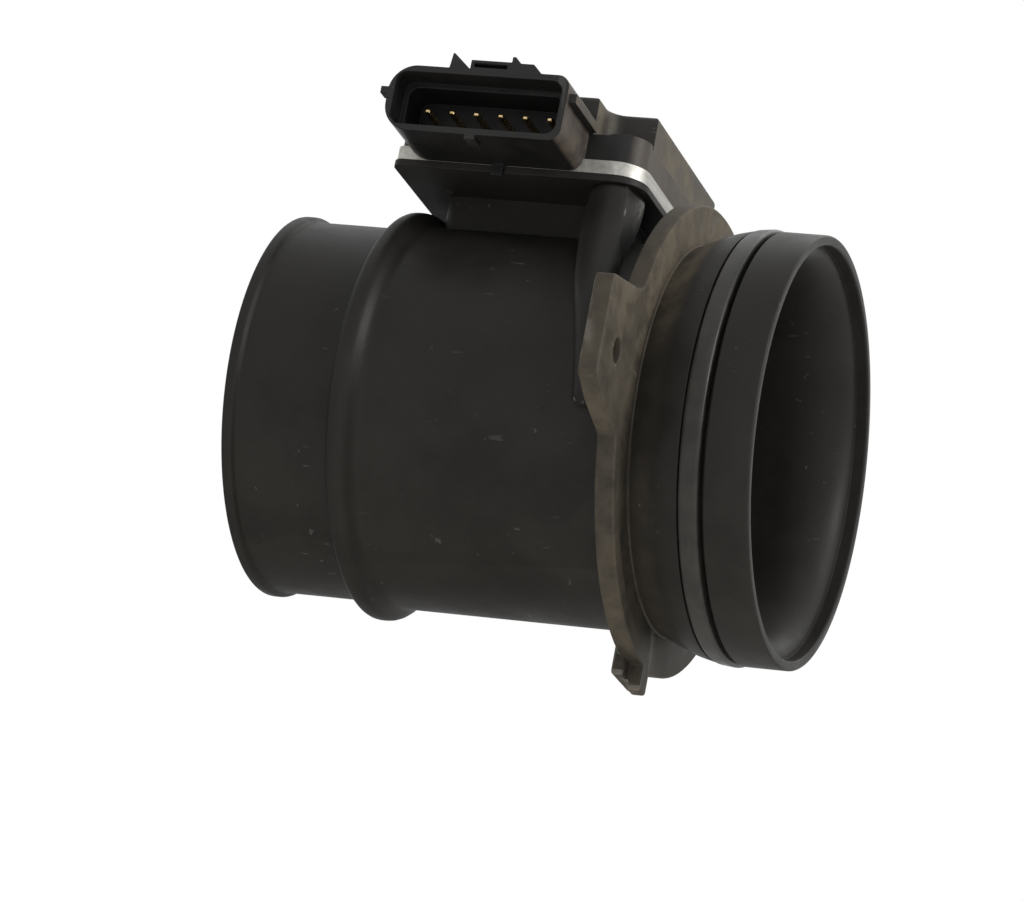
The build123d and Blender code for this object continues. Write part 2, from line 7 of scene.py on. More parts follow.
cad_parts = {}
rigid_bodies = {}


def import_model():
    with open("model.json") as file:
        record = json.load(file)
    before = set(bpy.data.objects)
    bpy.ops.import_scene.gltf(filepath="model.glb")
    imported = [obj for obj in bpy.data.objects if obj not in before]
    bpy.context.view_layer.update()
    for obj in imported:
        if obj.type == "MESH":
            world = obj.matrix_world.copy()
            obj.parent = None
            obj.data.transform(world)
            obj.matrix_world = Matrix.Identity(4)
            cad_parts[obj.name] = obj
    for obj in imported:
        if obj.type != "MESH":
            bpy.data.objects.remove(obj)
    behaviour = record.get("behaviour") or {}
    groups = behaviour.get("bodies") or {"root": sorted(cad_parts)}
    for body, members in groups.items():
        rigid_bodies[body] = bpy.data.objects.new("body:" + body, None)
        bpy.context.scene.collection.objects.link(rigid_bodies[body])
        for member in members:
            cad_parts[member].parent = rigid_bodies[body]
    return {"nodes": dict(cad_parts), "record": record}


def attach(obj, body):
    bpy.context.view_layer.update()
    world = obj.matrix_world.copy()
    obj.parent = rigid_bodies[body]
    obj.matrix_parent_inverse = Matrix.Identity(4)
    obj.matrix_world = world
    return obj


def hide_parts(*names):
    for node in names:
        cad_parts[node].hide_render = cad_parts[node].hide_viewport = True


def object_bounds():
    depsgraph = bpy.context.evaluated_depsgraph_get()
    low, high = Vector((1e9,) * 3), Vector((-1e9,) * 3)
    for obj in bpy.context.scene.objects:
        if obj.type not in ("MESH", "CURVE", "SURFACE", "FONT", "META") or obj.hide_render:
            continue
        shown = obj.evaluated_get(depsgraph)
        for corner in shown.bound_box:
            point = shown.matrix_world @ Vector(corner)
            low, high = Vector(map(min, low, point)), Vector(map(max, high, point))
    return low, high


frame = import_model()
nodes = frame["nodes"]
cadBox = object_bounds()
mm = 0.001
quarter = math.pi / 2
turn = 2 * math.pi

# for all pieces, in mm and degrees: vertices closer than "merge" are one, a corner is found within "near",
# and a rounding takes up to "roundShare" of a side
shared = {"merge": 0.002, "near": 0.01, "roundShare": 0.45, "bevelAngle": 35, "smoothAngle": 32,
          "flatWeight": 80}


def deselectAll():
    if bpy.context.object and bpy.context.object.mode != "OBJECT":
        bpy.ops.object.mode_set(mode="OBJECT")
    bpy.ops.object.select_all(action="DESELECT")


def pick(piece):
    deselectAll()
    piece.select_set(True)
    bpy.context.view_layer.objects.active = piece


def placed(name):
    # names the primitive just added and puts its place into its mesh
    piece = bpy.context.object
    piece.name = name
    piece.data.name = name
    bpy.ops.object.transform_apply(location=True, rotation=True, scale=True)
    return piece


def selectVertices(piece, test):
    # in edit mode, selects only the vertices whose place passes the test
    bpy.ops.mesh.select_mode(type="VERT")
    bpy.ops.mesh.select_all(action="DESELECT")
    bpy.ops.object.mode_set(mode="OBJECT")
    for vertex in piece.data.vertices:
        vertex.select = test(vertex.co)
    bpy.ops.object.mode_set(mode="EDIT")


def applyModifier(piece, kind, **settings):
    pick(piece)
    bpy.ops.object.modifier_add(type=kind)
    change = piece.modifiers[-1]
    for key, value in settings.items():
        setattr(change, key, value)
    bpy.ops.object.modifier_apply(modifier=change.name)


def combine(piece, tool, operation):
    applyModifier(piece, "BOOLEAN", operation=operation, object=tool, solver="EXACT")
    bpy.data.objects.remove(tool)


def joined(name, pieces):
    pick(pieces[0])
    for piece in pieces:
        piece.select_set(True)
    bpy.ops.object.join()
    pieces[0].name = name
    pieces[0].data.name = name
    return pieces[0]


def smoothed(piece, angle):
    pick(piece)
    bpy.ops.object.shade_smooth_by_angle(angle=math.radians(angle))
    return piece


def softened(piece, width, segments, angle=shared["bevelAngle"]):
    # rounds the sharp edges, smooths the rest, and keeps the flat faces flat
    applyModifier(piece, "BEVEL", width=width * mm, segments=segments, limit_method="ANGLE",
                  angle_limit=math.radians(angle), use_clamp_overlap=False, miter_outer="MITER_ARC")
    smoothed(piece, shared["smoothAngle"])
    applyModifier(piece, "WEIGHTED_NORMAL", keep_sharp=True, weight=shared["flatWeight"])
    return piece


def cleaned(piece):
    # merges doubled vertices and turns all normals outward
    pick(piece)
    bpy.ops.object.mode_set(mode="EDIT")
    bpy.ops.mesh.select_all(action="SELECT")
    bpy.ops.mesh.remove_doubles(threshold=shared["merge"] * mm)
    bpy.ops.mesh.normals_make_consistent(inside=False)
    bpy.ops.object.mode_set(mode="OBJECT")
    return piece


def finishPiece(piece, slotName, *replaced):
    piece.data.materials.clear()
    piece.data.materials.append(made[slotName])
    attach(piece, "root")
    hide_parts(*replaced)


# camera, a little under the duct and looking up at the plug: lengths in mm, angles in degrees, far clip in m
cameraLook = {"aim": (-33.33, 0.0, -4.63), "distance": 1045.62, "azimuth": 19.279, "elevation": -16.274,
              "roll": 10.854, "lens": 197.907, "sensor": 36, "farClip": 20}


def addCamera():
    azimuth = math.radians(cameraLook["azimuth"])
    elevation = math.radians(cameraLook["elevation"])
    away = Vector((math.sin(azimuth) * math.cos(elevation), -math.cos(azimuth) * math.cos(elevation),
                   math.sin(elevation)))
    bpy.ops.object.camera_add(location=(Vector(cameraLook["aim"]) + away * cameraLook["distance"]) * mm)
    camera = bpy.context.object
    camera.rotation_mode = "QUATERNION"
    camera.rotation_quaternion = (-away).to_track_quat("-Z", "Y") @ Quaternion(
        (0, 0, 1), math.radians(cameraLook["roll"]))
    camera.data.lens = cameraLook["lens"]
    camera.data.sensor_width = cameraLook["sensor"]
    camera.data.clip_end = cameraLook["farClip"]
    bpy.context.scene.camera = camera


addCamera()


def put(tree, kind, inputs=None, **settings):
    # adds a node, gives it its settings, and links or sets its inputs
    node = tree.nodes.new(kind)
    for key, value in settings.items():
        setattr(node, key, value)
    for key, value in (inputs or {}).items():
        if isinstance(value, bpy.types.NodeSocket):
            tree.links.new(value, node.inputs[key])
        else:
            node.inputs[key].default_value = value
    return node


def combineValues(tree, operation, first, second):
    return put(tree, "ShaderNodeMath", {0: first, 1: second}, operation=operation).outputs[0]


def ranged(tree, value, low, high, toLow=0.0, toHigh=1.0):
    return put(tree, "ShaderNodeMapRange",
               {"Value": value, "From Min": low, "From Max": high, "To Min": toLow, "To Max": toHigh},
               interpolation_type="SMOOTHSTEP").outputs[0]


def mixColour(tree, share, first, second):
    return put(tree, "ShaderNodeMix", {0: share, 6: first, 7: second}, data_type="RGBA").outputs[2]


def newGroup(name, inputs, outputs):
    tree = bpy.data.node_groups.new(name, "ShaderNodeTree")
    for label, value in inputs.items():
        tree.interface.new_socket(label, in_out="INPUT", socket_type="NodeSocketFloat").default_value = value
    for label in outputs:
        tree.interface.new_socket(label, in_out="OUTPUT", socket_type="NodeSocketFloat")
    return tree, tree.nodes.new("NodeGroupInput"), tree.nodes.new("NodeGroupOutput")


def objectSpot(tree, scale=(1, 1, 1), rotation=(0, 0, 0)):
    spot = put(tree, "ShaderNodeTexCoord").outputs["Object"]
    return put(tree, "ShaderNodeMapping", {"Vector": spot, "Scale": scale, "Rotation": rotation}).outputs[0]


def noise(tree, spot, scale, detail=3.0, roughness=0.5):
    return put(tree, "ShaderNodeTexNoise", {"Vector": spot, "Scale": scale, "Detail": detail,
                                            "Roughness": roughness}).outputs[0]


def makeGrainGroup():
    # fine spark-eroded skin of a moulding, and a slow mottle over it
    tree, given, result = newGroup("MouldGrain", {"Grain Scale": 2600.0, "Mottle Scale": 60.0},
                                   ("Height", "Mottle"))
    spot = objectSpot(tree)
    fine = noise(tree, spot, given.outputs["Grain Scale"], 2.0)
    slow = noise(tree, spot, given.outputs["Mottle Scale"], 5.0, 0.62)
    tree.links.new(fine, result.inputs["Height"])
    tree.links.new(ranged(tree, slow, 0.3, 0.7), result.inputs["Mottle"])
    return tree


def makeBrushGroup():
    # long marks of a rolled and brushed sheet
    tree, given, result = newGroup("BrushMarks", {"Scale": 900.0}, ("Height", "Streak"))
    spot = objectSpot(tree, scale=(1.0, 0.06, 1.0))
    streak = noise(tree, spot, given.outputs["Scale"], 4.0, 0.7)
    tree.links.new(streak, result.inputs["Height"])
    tree.links.new(ranged(tree, streak, 0.3, 0.7), result.inputs["Streak"])
    return tree


# what the marks of all finishes share: scratches as (stretch, rotation) of the noise, the noise levels between
# which a mark fades in, and linear colours; the worn edges' colour is also a painted highlight along sharp
# edges
marks = {"scratches": (((1.0, 5.0, 5.0), (0.4, 0.5, 0.9)), ((4.0, 1.0, 4.0), (0.9, 0.2, -0.6))),
         "scratchFade": (0.73, 0.78), "speckFade": (0.77, 0.81), "speckScale": 6.0,
         "patchFade": (0.42, 0.6), "patchScale": 35.0, "scuffColour": (0.16, 0.155, 0.145),
         "rubbedColour": (0.17, 0.165, 0.150), "dustRough": 0.85, "bump": 0.5}


def makeScuffGroup():
    # thin crossing scratches and small light specks from handling
    tree, given, result = newGroup("HandlingScuffs", {"Scale": 150.0, "Amount": 0.5}, ("Mask",))
    speckScale = combineValues(tree, "MULTIPLY", given.outputs["Scale"], marks["speckScale"])
    mask = ranged(tree, noise(tree, objectSpot(tree), speckScale, 1.0), *marks["speckFade"])
    for stretch, rotation in marks["scratches"]:
        line = noise(tree, objectSpot(tree, stretch, rotation), given.outputs["Scale"], 2.0, 0.4)
        mask = combineValues(tree, "MAXIMUM", mask, ranged(tree, line, *marks["scratchFade"]))
    patch = noise(tree, objectSpot(tree), marks["patchScale"], 2.0)
    mask = combineValues(tree, "MULTIPLY", mask, ranged(tree, patch, *marks["patchFade"]))
    tree.links.new(combineValues(tree, "MULTIPLY", mask, given.outputs["Amount"]), result.inputs["Mask"])
    return tree


def makeDustGroup():
    # dirt between two stations along the duct and beyond a radius, less of it low down; with a high "Facing"
    # it keeps to faces that look along +X
    tree, given, result = newGroup(
        "SettledDust", {"From": -1.0, "To": 1.0, "Fade": 0.003, "Inner": -1.0, "Low": -0.02, "High": 0.03,
                        "Low Share": 1.0, "Facing": 0.0, "Scale": 120.0, "Amount": 0.5}, ("Mask",))
    place = put(tree, "ShaderNodeSeparateXYZ", {0: objectSpot(tree)})
    start = combineValues(tree, "SUBTRACT", given.outputs["From"], given.outputs["Fade"])
    rise = ranged(tree, place.outputs["X"], start, given.outputs["From"])
    end = combineValues(tree, "ADD", given.outputs["To"], given.outputs["Fade"])
    fall = ranged(tree, place.outputs["X"], given.outputs["To"], end, 1.0, 0.0)
    tall = ranged(tree, place.outputs["Z"], given.outputs["Low"], given.outputs["High"],
                  given.outputs["Low Share"], 1.0)
    across = put(tree, "ShaderNodeCombineXYZ", {1: place.outputs["Y"], 2: place.outputs["Z"]}).outputs[0]
    radius = put(tree, "ShaderNodeVectorMath", {0: across}, operation="LENGTH").outputs["Value"]
    outer = combineValues(tree, "GREATER_THAN", radius, given.outputs["Inner"])
    facing = put(tree, "ShaderNodeSeparateXYZ", {0: put(tree, "ShaderNodeNewGeometry").outputs["Normal"]})
    toward = ranged(tree, facing.outputs["X"], 0.35, 0.7)
    facingShare = put(tree, "ShaderNodeMix", {0: given.outputs["Facing"], 2: 1.0, 3: toward}).outputs[0]
    cloud = noise(tree, objectSpot(tree), given.outputs["Scale"], 6.0, 0.65)
    cloud = ranged(tree, cloud, 0.3, 0.68, 0.25, 1.0)
    mask = combineValues(tree, "MULTIPLY", rise, fall)
    for part in (tall, outer, facingShare, cloud, given.outputs["Amount"]):
        mask = combineValues(tree, "MULTIPLY", mask, part)
    tree.links.new(mask, result.inputs["Mask"])
    return tree


def makeEdgeWearAndHighlightGroup():
    # worn edges with painted highlights along them, broken up
    tree, given, result = newGroup("RubbedEdges", {"From": 0.55, "To": 0.62, "Scale": 300.0, "Amount": 0.5},
                                   ("Mask",))
    sharp = put(tree, "ShaderNodeNewGeometry").outputs["Pointiness"]
    wornAndLitEdge = ranged(tree, sharp, given.outputs["From"], given.outputs["To"])
    broken = ranged(tree, noise(tree, objectSpot(tree), given.outputs["Scale"], 4.0, 0.6), 0.35, 0.6)
    mask = combineValues(tree, "MULTIPLY", wornAndLitEdge, broken)
    tree.links.new(combineValues(tree, "MULTIPLY", mask, given.outputs["Amount"]), result.inputs["Mask"])
    return tree


groups = {"grain": makeGrainGroup(), "brush": makeBrushGroup(), "scuff": makeScuffGroup(),
          "dust": makeDustGroup(), "wear": makeEdgeWearAndHighlightGroup()}
print("shader groups made")

# finishes: colours are linear, dust stations in metres, the grain's depth in mm
finishes = {
    "duct_plastic": {
        "dark": (0.0140, 0.0131, 0.0118), "light": (0.0208, 0.0194, 0.0172), "rough": (0.42, 0.54),
        "specular": 0.16, "grain": 2600, "depth": 0.05, "mottle": 55,
        "dust": {"From": 0.0006, "To": 0.0036, "Fade": 0.0035, "Inner": 0.035, "Low": 0.0, "High": 0.024,
                 "Low Share": 0.08, "Amount": 0.95, "Scale": 160},
        "moreDust": ({"From": -0.0008, "To": 0.0005, "Fade": 0.0003, "Inner": 0.035, "Low Share": 0.35,
                      "Facing": 1.0, "Amount": 0.9, "Scale": 130},
                     {"From": -0.0048, "To": 0.0005, "Fade": 0.0003, "Inner": 0.0405,
                      "Amount": 0.42, "Scale": 110}),
        # the edge mark: worn edges, and painted highlights along the sharp edges of flange, collar and lip
        "dustColour": (0.150, 0.125, 0.090), "scuff": 0.3, "wear": 0.7},
    "housing_plastic": {
        "dark": (0.0060, 0.0060, 0.0062), "light": (0.0115, 0.0110, 0.0105), "rough": (0.38, 0.5),
        "specular": 0.3, "grain": 2200, "depth": 0.05, "mottle": 70,
        "dust": {"From": -0.028, "Facing": 1.0, "Amount": 0.55, "Scale": 190},
        # the edge mark: worn edges, and painted highlights along the connector's edges
        "dustColour": (0.150, 0.120, 0.092), "scuff": 0.2, "wear": 0.25},
    "cover_plastic": {
        "dark": (0.0110, 0.0110, 0.0100), "light": (0.0190, 0.0185, 0.0165), "rough": (0.42, 0.55),
        "specular": 0.3, "grain": 2200, "depth": 0.05, "mottle": 60,
        "dust": {"Facing": 0.9, "Amount": 0.9, "Scale": 120},
        "dustColour": (0.150, 0.128, 0.094), "scuff": 0.3},
    "probe_plastic": {
        "dark": (0.0100, 0.0100, 0.0098), "light": (0.0170, 0.0165, 0.0155), "rough": (0.42, 0.55),
        "specular": 0.3, "grain": 2400, "depth": 0.05, "mottle": 80,
        "dust": {"Amount": 0.08, "Scale": 200}, "dustColour": (0.12, 0.10, 0.075), "scuff": 0.1},
    "seal_rubber": {
        "dark": (0.0185, 0.0185, 0.0185), "light": (0.0275, 0.0268, 0.0255), "rough": (0.32, 0.42),
        "specular": 0.28, "grain": 4200, "depth": 0.03, "mottle": 120,
        "dust": {"Amount": 0.10, "Scale": 260}, "dustColour": (0.16, 0.14, 0.11), "scuff": 0.1},
    "sealant": {
        "dark": (0.060, 0.058, 0.052), "light": (0.115, 0.110, 0.098), "rough": (0.5, 0.62),
        "specular": 0.4, "grain": 1500, "depth": 0.08, "mottle": 300,
        "dust": {"Amount": 0.25, "Scale": 300}, "dustColour": (0.16, 0.14, 0.11)},
    "plate_aluminium": {
        "dark": (0.36, 0.355, 0.33), "light": (0.50, 0.49, 0.46), "rough": (0.34, 0.5), "metal": 1.0,
        "specular": 0.5, "grain": 900, "depth": 0.03, "mottle": 160, "brushed": True,
        "dust": {"Amount": 0.16, "Scale": 240}, "dustColour": (0.30, 0.27, 0.20), "scuff": 0.3},
    "board_laminate": {
        "dark": (0.010, 0.055, 0.022), "light": (0.020, 0.095, 0.040), "rough": (0.3, 0.4),
        "specular": 0.5, "grain": 3500, "depth": 0.03, "mottle": 500,
        "dust": {"Amount": 0.03, "Scale": 400}, "dustColour": (0.2, 0.18, 0.14)},
    "chip_black": {
        "dark": (0.010, 0.010, 0.011), "light": (0.019, 0.019, 0.020), "rough": (0.4, 0.5),
        "specular": 0.5, "grain": 6000, "depth": 0.03, "mottle": 600,
        "dust": {"Amount": 0.03, "Scale": 400}, "dustColour": (0.2, 0.18, 0.14)},
    "capacitor_ceramic": {
        "dark": (0.28, 0.18, 0.10), "light": (0.42, 0.29, 0.17), "rough": (0.4, 0.5),
        "specular": 0.5, "grain": 6000, "depth": 0.03, "mottle": 900,
        "dust": {"Amount": 0.02, "Scale": 400}, "dustColour": (0.2, 0.18, 0.14)},
    "pin_plating": {
        "dark": (0.52, 0.36, 0.16), "light": (0.86, 0.66, 0.36), "rough": (0.16, 0.3), "metal": 1.0,
        "specular": 0.5, "grain": 5000, "depth": 0.01, "mottle": 700,
        "dust": {"Amount": 0.02, "Scale": 500}, "dustColour": (0.3, 0.22, 0.12)},
    "lead_steel": {
        "dark": (0.34, 0.33, 0.31), "light": (0.56, 0.55, 0.52), "rough": (0.25, 0.38), "metal": 1.0,
        "specular": 0.5, "grain": 5000, "depth": 0.01, "mottle": 700,
        "dust": {"Amount": 0.04, "Scale": 500}, "dustColour": (0.2, 0.17, 0.12)},
    "element_metal": {
        "dark": (0.46, 0.44, 0.40), "light": (0.68, 0.66, 0.60), "rough": (0.22, 0.34), "metal": 1.0,
        "specular": 0.5, "grain": 6000, "depth": 0.01, "mottle": 900,
        "dust": {"Amount": 0.04, "Scale": 600}, "dustColour": (0.2, 0.17, 0.12)},
    "element_ceramic": {
        "dark": (0.48, 0.46, 0.42), "light": (0.66, 0.64, 0.60), "rough": (0.42, 0.55),
        "specular": 0.5, "grain": 6000, "depth": 0.02, "mottle": 900,
        "dust": {"Amount": 0.08, "Scale": 600}, "dustColour": (0.2, 0.17, 0.12)},
    "sensor_glass": {
        "dark": (0.030, 0.028, 0.024), "light": (0.060, 0.056, 0.048), "rough": (0.14, 0.24),
        "specular": 0.5, "grain": 5000, "depth": 0.01, "mottle": 800,
        "dust": {"Amount": 0.05, "Scale": 500}, "dustColour": (0.2, 0.17, 0.12)},
    "screw_steel": {
        "dark": (0.34, 0.33, 0.30), "light": (0.52, 0.51, 0.47), "rough": (0.28, 0.42), "metal": 1.0,
        "specular": 0.5, "grain": 3000, "depth": 0.02, "mottle": 500,
        "dust": {"Amount": 0.18, "Scale": 400}, "dustColour": (0.15, 0.125, 0.09), "scuff": 0.2},
}


def groupNode(tree, key, **values):
    node = tree.nodes.new("ShaderNodeGroup")
    node.node_tree = groups[key]
    for label, value in values.items():
        node.inputs[label].default_value = value
    return node


def makeFinish(name, look):
    finish = bpy.data.materials.new(name)
    finish.use_nodes = True
    tree = finish.node_tree
    shader = tree.nodes["Principled BSDF"]
    grain = groupNode(tree, "grain", **{"Grain Scale": look["grain"], "Mottle Scale": look["mottle"]})
    tone, height = grain.outputs["Mottle"], grain.outputs["Height"]
    if look.get("brushed"):
        brush = groupNode(tree, "brush", Scale=look["grain"])
        tone, height = brush.outputs["Streak"], brush.outputs["Height"]
    dust = groupNode(tree, "dust", **look["dust"]).outputs["Mask"]
    for more in look.get("moreDust", ()):
        dust = combineValues(tree, "MAXIMUM", dust, groupNode(tree, "dust", **more).outputs["Mask"])
    colour = mixColour(tree, tone, (*look["dark"], 1), (*look["light"], 1))
    # scuffs, then the edge mark, which paints highlights along sharp edges as well as their worn look
    for key, markColour in (("scuff", "scuffColour"), ("wear", "rubbedColour")):
        if key in look:
            mask = groupNode(tree, key, Amount=look[key]).outputs["Mask"]
            colour = mixColour(tree, mask, colour, (*marks[markColour], 1))
    colour = mixColour(tree, dust, colour, (*look["dustColour"], 1))
    rough = ranged(tree, grain.outputs["Mottle"], 0.0, 1.0, *look["rough"])
    rough = put(tree, "ShaderNodeMix", {0: dust, 2: rough, 3: marks["dustRough"]}).outputs[0]
    bump = put(tree, "ShaderNodeBump", {"Strength": marks["bump"], "Distance": look["depth"] * mm,
                                        "Height": height})
    tree.links.new(colour, shader.inputs["Base Color"])
    tree.links.new(rough, shader.inputs["Roughness"])
    tree.links.new(bump.outputs[0], shader.inputs["Normal"])
    shader.inputs["Specular IOR Level"].default_value = look["specular"]
    if "metal" in look:
        metalShare = combineValues(tree, "SUBTRACT", look["metal"], dust)
        tree.links.new(metalShare, shader.inputs["Metallic"])
    return finish


made = {name: makeFinish(name, look) for name, look in finishes.items()}
print("finishes made:", len(made))

# every CAD node gets its finish by the record's slots
slotOf = {part["node"]: part["material_slot"] for part in frame["record"]["subparts"]}
for nodeName, node in nodes.items():
    node.data.materials.clear()
    node.data.materials.append(made[slotOf[nodeName]])
print("CAD nodes dressed:", len(slotOf))

# duct shell: (x, radius, rounding) outside from the hose end to the lip and its recess, then the bell's
# quarter ellipse down to the bore
duct = {"outside": ((-78.1, 32.4, 0.35), (-78.1, 35.9, 0.5), (-76.2, 35.9, 0.3), (-75.6, 35.0, 0.3),
                    (-57.9, 35.0, 0.4), (-56.6, 38.3, 1.0), (-53.8, 38.3, 1.2), (-51.9, 35.8, 1.3),
                    (-0.6, 35.8, 0.0), (-0.6, 36.5, 0.0), (0.2, 36.5, 0.12), (0.45, 36.2, 0.1),
                    (6.9, 39.0, 1.6), (10.4, 39.8, 0.25), (10.4, 37.2, 0.35), (15.3, 37.2, 0.35),
                    (15.3, 40.0, 0.4), (23.8, 40.0, 0.55), (23.8, 38.1, 0.5), (21.4, 38.1, 0.15),
                    (21.4, 37.8, 0.0)),
        "bellLength": 12.0, "bore": 32.4, "bellSteps": 14, "around": 256, "cornerSteps": 4}


def roundedPath(corners, steps):
    # replaces each corner that has a rounding by a short arc
    path = []
    for i, (x, y, rounding) in enumerate(corners):
        here = Vector((x, y))
        if not rounding:
            path.append(here)
            continue
        before = Vector(corners[i - 1][:2]) - here
        after = Vector(corners[(i + 1) % len(corners)][:2]) - here
        reach = min(rounding, before.length * shared["roundShare"], after.length * shared["roundShare"])
        first = here + before.normalized() * reach
        last = here + after.normalized() * reach
        for k in range(steps + 1):
            t = k / steps
            path.append(first * (1 - t) ** 2 + here * 2 * t * (1 - t) + last * t * t)
    return path


def dragCorner(name, path):
    # the four corners of a tiny plane become one, which is dragged from station to station
    bpy.ops.mesh.primitive_plane_add(size=mm)
    piece = placed(name)
    bpy.ops.object.mode_set(mode="EDIT")
    bpy.ops.mesh.select_mode(type="VERT")
    bpy.ops.mesh.select_all(action="SELECT")
    bpy.ops.mesh.merge(type="CENTER")
    bpy.ops.transform.translate(value=Vector(path[0]))
    for before, after in zip(path, path[1:]):
        bpy.ops.mesh.extrude_region_move(TRANSFORM_OT_translate={"value": Vector(after) - Vector(before)})
    bpy.ops.mesh.select_all(action="SELECT")
    return piece


def turned(name, path, around):
    # a closed section of (x, radius) is turned about the duct's axis
    piece = dragCorner(name, [(spot.x * mm, 0, spot.y * mm) for spot in path])
    bpy.ops.mesh.spin(steps=around, angle=turn, center=(0, 0, 0), axis=(1, 0, 0))
    bpy.ops.object.mode_set(mode="OBJECT")
    return cleaned(piece)


def makeDuctShell():
    path = roundedPath(duct["outside"], duct["cornerSteps"])
    x, radius = duct["outside"][-1][:2]
    for k in range(1, duct["bellSteps"] + 1):
        angle = quarter * k / duct["bellSteps"]
        path.append(Vector((x - duct["bellLength"] * (1 - math.cos(angle)),
                            radius - (radius - duct["bore"]) * math.sin(angle))))
    path.append(path[0])
    return turned("ductShell", path, duct["around"])


# mounting flange: an ear's outline as (y, z, rounding), the other ear is the same turned half round; the foot
# under it as (width, lowest, highest, from, to), what is cut off behind the nib likewise, and the nib before
# the foot as (width, lowest); "nibClear" is the share of its width that the rim's points keep clear of it
flange = {"radius": 43.7, "back": -3.7, "hole": 34.2, "arcSteps": 80, "arcGaps": (0.08, 0.15),
          "boltRadius": 2.25, "boltReach": 50.0, "edge": 0.45, "lugRounding": 1.0, "nibClear": 0.6,
          "ear": ((-41.26, 14.4, 3.0), (-59.2, 11.3, 1.2), (-59.2, -7.2, 1.2), (-53.2, -10.2, 1.2),
                  (-41.66, -13.2, 1.5)),
          "foot": (12.4, -46.8, -36.0, -4.7, -2.5), "nib": (4.8, -48.4),
          "behindNib": (9.6, -50.0, -45.0, -6.0, -2.6), "throughHoles": 9.0,
          "cornerSteps": 5, "edgeSteps": 3, "holeSides": 180, "boltSides": 48}


def slab(name, outline, back, front):
    # an outline of (y, z, rounding) in the flange's plane is filled and drawn out along +X
    path = [(back * mm, spot.x * mm, spot.y * mm) for spot in roundedPath(outline, flange["cornerSteps"])]
    piece = dragCorner(name, [*path, path[0]])
    bpy.ops.mesh.remove_doubles(threshold=shared["near"] * mm)
    bpy.ops.mesh.edge_face_add()
    bpy.ops.mesh.select_all(action="SELECT")
    bpy.ops.mesh.extrude_region_move(TRANSFORM_OT_translate={"value": ((front - back) * mm, 0, 0)})
    return cleaned(piece)


def rod(name, radius, start, end, around):
    # a round bar between two points, to be cut off a piece or joined to it
    start, end = Vector(start) * mm, Vector(end) * mm
    bpy.ops.mesh.primitive_cylinder_add(vertices=around, radius=radius * mm, depth=(end - start).length,
                                        location=(start + end) / 2,
                                        rotation=(end - start).to_track_quat("Z", "Y").to_euler())
    return placed(name)


def lugOutline(width, low, high, rounding):
    # a lug under the flange: down one side, across its rounded foot and up the other
    side = width / 2
    return [(-side, high, 0.0), (-side, low, rounding), (side, low, rounding), (side, high, 0.0)]


def rimArc():
    # the disc's rim from the end of one ear to the start of the other
    start, end = flange["ear"][-1], flange["ear"][0]
    first = math.atan2(start[1], start[0]) + flange["arcGaps"][0]
    last = math.atan2(-end[1], -end[0]) - flange["arcGaps"][1]
    arc = []
    for k in range(flange["arcSteps"] + 1):
        angle = first + (last - first) * k / flange["arcSteps"]
        arc.append((flange["radius"] * math.cos(angle), flange["radius"] * math.sin(angle), 0.0))
    return arc


def throughHole(piece, radius, y, around):
    reach = flange["throughHoles"]
    combine(piece, rod("hole", radius, (-reach, y, 0), (reach, y, 0), around), "DIFFERENCE")


def makeFlange():
    arc = rimArc()
    width, low = flange["nib"]
    clear = width * flange["nibClear"]
    rim = -math.sqrt(flange["radius"] ** 2 - width ** 2 / 4)
    nib = lugOutline(width, low, rim, flange["lugRounding"])
    under = [spot for spot in arc if spot[0] < -clear] + nib + [spot for spot in arc if spot[0] > clear]
    outline = []
    for side, rest in ((1, under), (-1, arc)):
        outline += [(side * y, side * z, size) for y, z, size in (*flange["ear"], *rest)]
    piece = slab("flangeDisc", outline, flange["back"], 0.0)
    pick(piece)
    bpy.ops.object.mode_set(mode="EDIT")
    for across in ((0, 1, 0), (0, 0, 1)):
        # quarters, so that no flat face has a hole inside it
        bpy.ops.mesh.select_all(action="SELECT")
        bpy.ops.mesh.bisect(plane_co=(0, 0, 0), plane_no=across)
    bpy.ops.object.mode_set(mode="OBJECT")
    width, low, high, start, end = flange["behindNib"]
    combine(piece, slab("behindNib", lugOutline(width, low, high, 0), start, end), "DIFFERENCE")
    width, low, high, start, end = flange["foot"]
    combine(piece, slab("foot", lugOutline(width, low, high, flange["lugRounding"]), start, end), "UNION")
    throughHole(piece, flange["hole"], 0, flange["holeSides"])
    for side in (1, -1):
        throughHole(piece, flange["boltRadius"], side * flange["boltReach"], flange["boltSides"])
    return softened(cleaned(piece), flange["edge"], flange["edgeSteps"])


